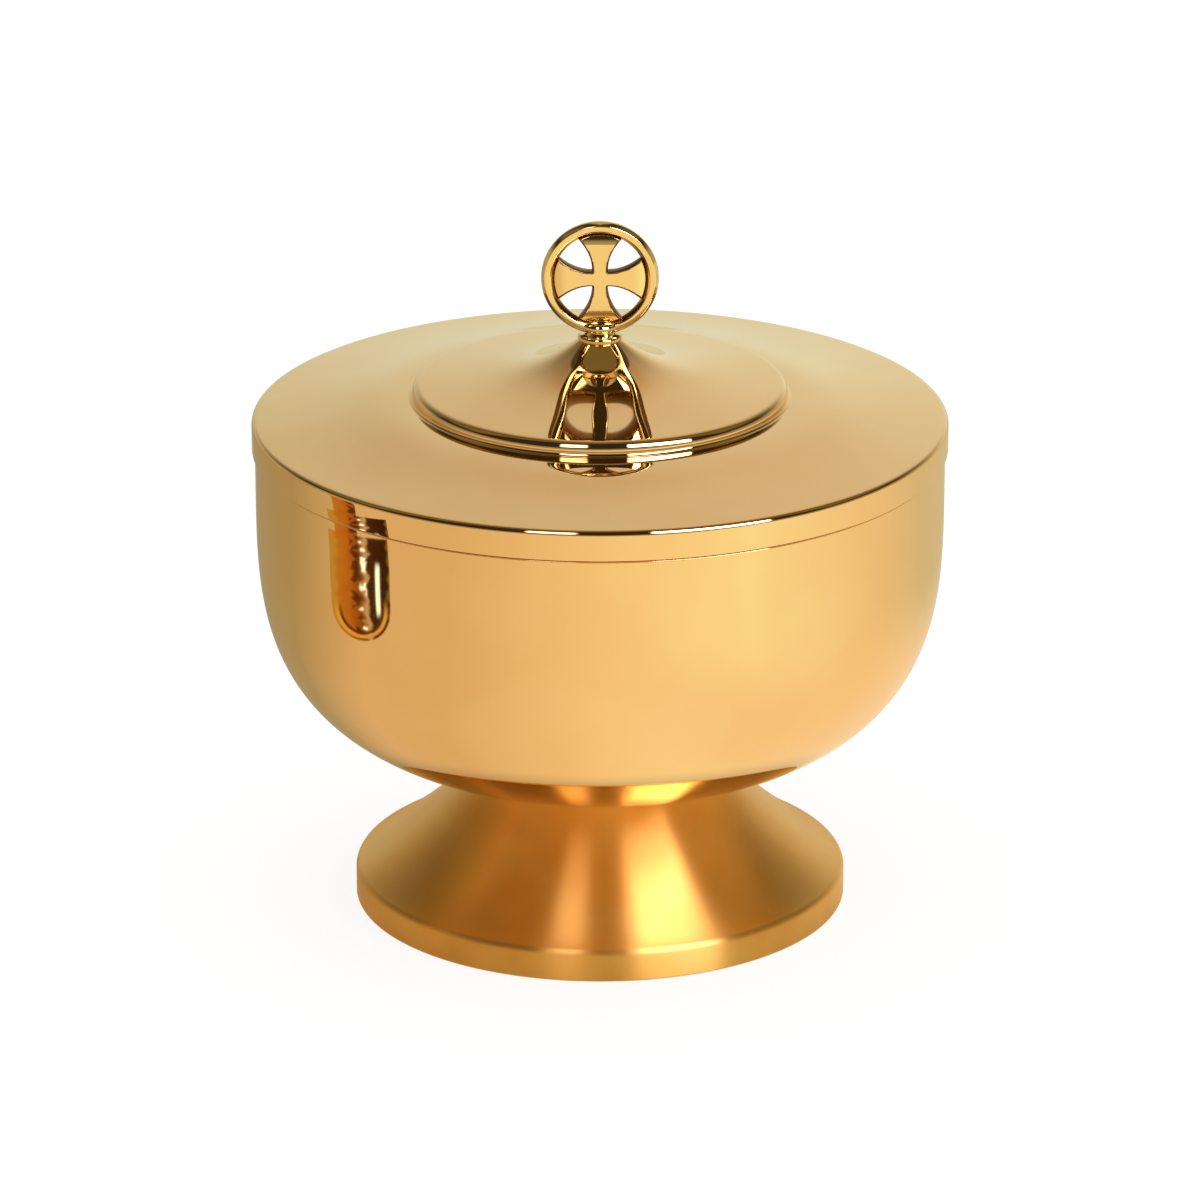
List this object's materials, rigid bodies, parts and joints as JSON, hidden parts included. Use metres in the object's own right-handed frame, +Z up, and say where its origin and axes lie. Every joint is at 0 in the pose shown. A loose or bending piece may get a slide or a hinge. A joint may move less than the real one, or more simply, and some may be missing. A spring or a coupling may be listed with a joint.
{
  "type": "ciborium",
  "caption": "Low covered bowl on a flared foot, with a stepped lid that lifts off and turns, and a ringed cross with flared arms as its finial.",
  "frame": {"origin": "on the vessel's axis, in the plane that the foot stands on", "axes": "+Z up along the vessel's axis, -Y towards the front, square to the finial's ring, +X to the right seen from the front"},
  "size_m": [0.14, 0.14, 0.1431],
  "materials": {
    "polished_gilt": "polished gilt brass",
    "satin_gilt": "gilt brass with a fine satin brushing round the axis",
    "bare_brass": "turned brass, not gilt"
  },
  "bodies": {
    "vessel": {"foot_shell": "satin_gilt", "foot_plate": "bare_brass", "foot_stud": "bare_brass", "foot_washer": "bare_brass", "foot_nut": "bare_brass", "bowl_boss": "bare_brass", "bowl_shell": "polished_gilt"},
    "lid_carrier": {"finial_washer": "bare_brass"},
    "lid": {"lid_shell": "polished_gilt", "finial_collar": "polished_gilt", "finial_ring": "polished_gilt", "finial_cross": "polished_gilt", "finial_nut": "bare_brass"}
  },
  "joints": [
    {"name": "lid_lift", "type": "slide", "parent": "vessel", "child": "lid_carrier", "axis": [0, 0, 1], "range_m": [0, 0.06]},
    {"name": "lid_turn", "type": "hinge", "parent": "lid_carrier", "child": "lid", "pos_m": [0, 0, 0.1168], "axis": [0, 0, 1], "continuous": true}
  ]
}
